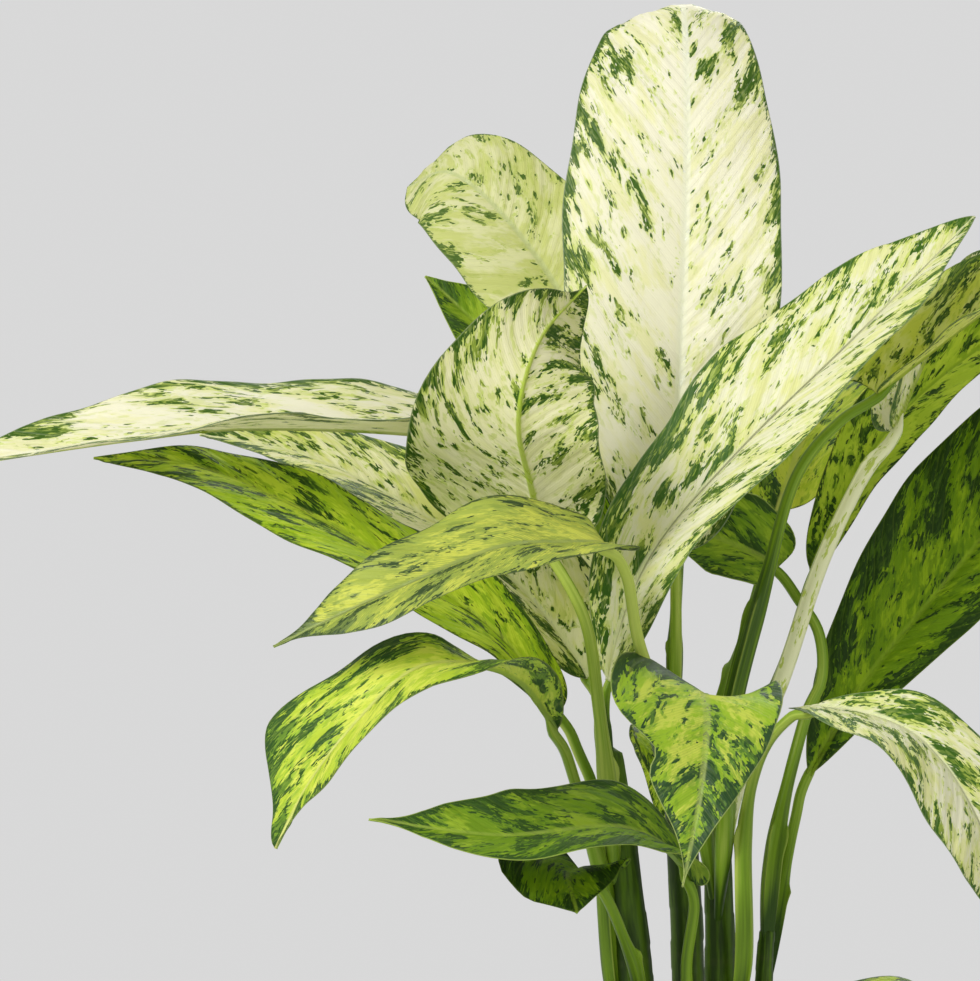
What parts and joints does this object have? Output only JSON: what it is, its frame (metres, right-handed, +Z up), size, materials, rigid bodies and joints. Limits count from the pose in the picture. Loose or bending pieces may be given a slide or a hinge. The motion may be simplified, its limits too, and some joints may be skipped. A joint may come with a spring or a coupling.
{
  "type": "potted dieffenbachia",
  "caption": "Bushy dumb cane in a plain round tapered pot: broad pointed leaves mottled cream, lime and deep green on sheathed stalks.",
  "frame": {"origin": "middle of the pot's flat underside", "axes": "+Z up along the pot's axis; the side that the picture shows faces -Y, and +X is to the right of that picture"},
  "size_m": [0.6457, 0.4953, 0.8325],
  "materials": {
    "pot": "matte",
    "soil": "matte",
    "stem_green": "satin",
    "leaf_cream": "satin",
    "leaf_lime": "satin",
    "leaf_deep": "satin"
  },
  "bodies": {
    "root": {"pot": "pot", "soil": "soil", "leafy_stem_left": "stem_green", "leafy_stem_back": "stem_green", "leafy_stem_front": "stem_green", "leafy_stem_right": "stem_green", "blade_tall_cream": "leaf_cream", "blade_upper_left_cream": "leaf_cream", "blade_upper_left_green": "leaf_lime", "blade_left_underside": "leaf_cream", "blade_right_cream": "leaf_cream", "blade_right_trough": "leaf_cream", "blade_right_hidden_cream": "leaf_cream", "blade_right_lime_underside": "leaf_lime", "blade_right_deep_green": "leaf_deep", "blade_right_drooping": "leaf_cream", "blade_front_heart": "leaf_lime", "blade_front_left_lime": "leaf_lime", "blade_far_left_cream": "leaf_cream", "blade_left_pale_behind": "leaf_cream", "blade_left_bright_green": "leaf_lime", "blade_lower_left_lime": "leaf_lime", "blade_bottom_left_deep": "leaf_deep", "blade_small_folded": "leaf_deep", "blade_centre_dark_behind": "leaf_deep", "blade_low_right": "leaf_lime", "blade_centre_young": "leaf_lime", "blade_rear_upper": "leaf_cream", "blade_rear_right": "leaf_lime", "blade_rear_left": "leaf_cream", "blade_rear_low": "leaf_lime", "blade_low_rear_right": "leaf_deep", "blade_low_rear_left": "leaf_deep", "blade_low_front_left": "leaf_deep"}
  },
  "joints": []
}
